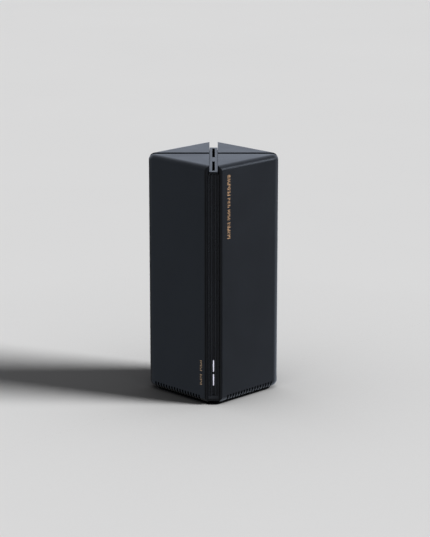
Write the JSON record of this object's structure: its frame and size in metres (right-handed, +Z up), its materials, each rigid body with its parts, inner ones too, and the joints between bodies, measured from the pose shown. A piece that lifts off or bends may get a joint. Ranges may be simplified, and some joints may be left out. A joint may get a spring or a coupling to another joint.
{
  "type": "mesh wifi node",
  "caption": "Upright square-plan mesh wifi node with a ribbed front spine, status lights, a rear port panel, a sync button and a reset pinhole.",
  "frame": {"origin": "centre of the footprint, on the surface that it stands on", "axes": "+Z up, -Y out of the front spine with the status lights, +Y out of the port panel, +X to the right seen from the front"},
  "size_m": [0.1058, 0.1014, 0.199],
  "materials": {
    "shell": "fine satin texture, dark navy grey",
    "top_strip": "fine satin texture, dark navy grey",
    "spine": "satin, near black",
    "black_plastic": "fine spark-eroded matt",
    "foot_rubber": "matt",
    "light_lens": "opal, lit from behind, slightly cool white",
    "circuit_board": "satin solder mask",
    "tin_plate": "satin tin plate",
    "screw_steel": "satin",
    "aluminium": "as extruded",
    "contact_gold": "bright gold plate",
    "jack_plastic": "satin black moulding",
    "wan_plastic": "satin blue moulding",
    "thermal_pad": "soft matt pad",
    "coax_jacket": "smooth jacket",
    "print_ink": "copper-coloured metallic ink, printed marks on the shell"
  },
  "bodies": {
    "root": {"antenna_bracket_left": "black_plastic", "antenna_bracket_right": "black_plastic", "antenna_left_front": "circuit_board", "antenna_left_rear": "circuit_board", "antenna_right_front": "circuit_board", "antenna_right_rear": "circuit_board", "base_plate": "black_plastic", "base_screw_front_left": "screw_steel", "base_screw_front_right": "screw_steel", "base_screw_rear_left": "screw_steel", "base_screw_rear_right": "screw_steel", "bulk_capacitor": "aluminium", "coax_left_front": "coax_jacket", "coax_left_rear": "coax_jacket", "coax_right_front": "coax_jacket", "coax_right_rear": "coax_jacket", "dc_jack": "jack_plastic", "dc_pin": "screw_steel", "foot_pad": "foot_rubber", "front_shell": "shell", "front_spine": "spine", "heatsink_left": "aluminium", "heatsink_right": "aluminium", "io_panel": "black_plastic", "lan_contacts_1": "contact_gold", "lan_contacts_2": "contact_gold", "lan_contacts_3": "contact_gold", "lan_jack_1": "jack_plastic", "lan_jack_2": "jack_plastic", "lan_jack_3": "jack_plastic", "lan_magnetics_a": "jack_plastic", "lan_magnetics_b": "jack_plastic", "led_board": "circuit_board", "led_lower": "light_lens", "led_upper": "light_lens", "lower_card_guide": "black_plastic", "main_board": "circuit_board", "mesh_switch": "black_plastic", "power_inductor": "jack_plastic", "rear_shell": "shell", "rear_spine": "spine", "reset_switch": "black_plastic", "shield_2g": "tin_plate", "shield_5g": "tin_plate", "sink_screw_front_lower": "screw_steel", "sink_screw_front_upper": "screw_steel", "sink_screw_rear_lower": "screw_steel", "sink_screw_rear_upper": "screw_steel", "soc_shield": "tin_plate", "status_lens_lower": "light_lens", "status_lens_upper": "light_lens", "thermal_pad_left": "thermal_pad", "thermal_pad_right": "thermal_pad", "top_spine": "top_strip", "upper_card_guide": "black_plastic", "wan_contacts": "contact_gold", "wan_jack": "wan_plastic"},
    "mesh_button": {"mesh_button": "spine"},
    "mesh_plunger": {"mesh_plunger": "tin_plate"},
    "reset_plunger": {"reset_plunger": "tin_plate"}
  },
  "joints": [
    {"name": "mesh_button_press", "type": "slide", "parent": "root", "child": "mesh_button", "axis": [0, -1, 0], "range_m": [0, 0.0006], "stiffness_N_per_m": 400, "springref_m": -0.001},
    {"name": "mesh_switch_travel", "type": "slide", "parent": "root", "child": "mesh_plunger", "axis": [0, -1, 0], "range_m": [0, 0.0006], "stiffness_N_per_m": 200, "springref_m": -0.001},
    {"name": "reset_press", "type": "slide", "parent": "root", "child": "reset_plunger", "axis": [0, -1, 0], "range_m": [0, 0.0005], "stiffness_N_per_m": 300, "springref_m": -0.001}
  ],
  "couplings": [
    {"joint": "mesh_switch_travel", "follows": "mesh_button_press", "ratio": 1}
  ]
}
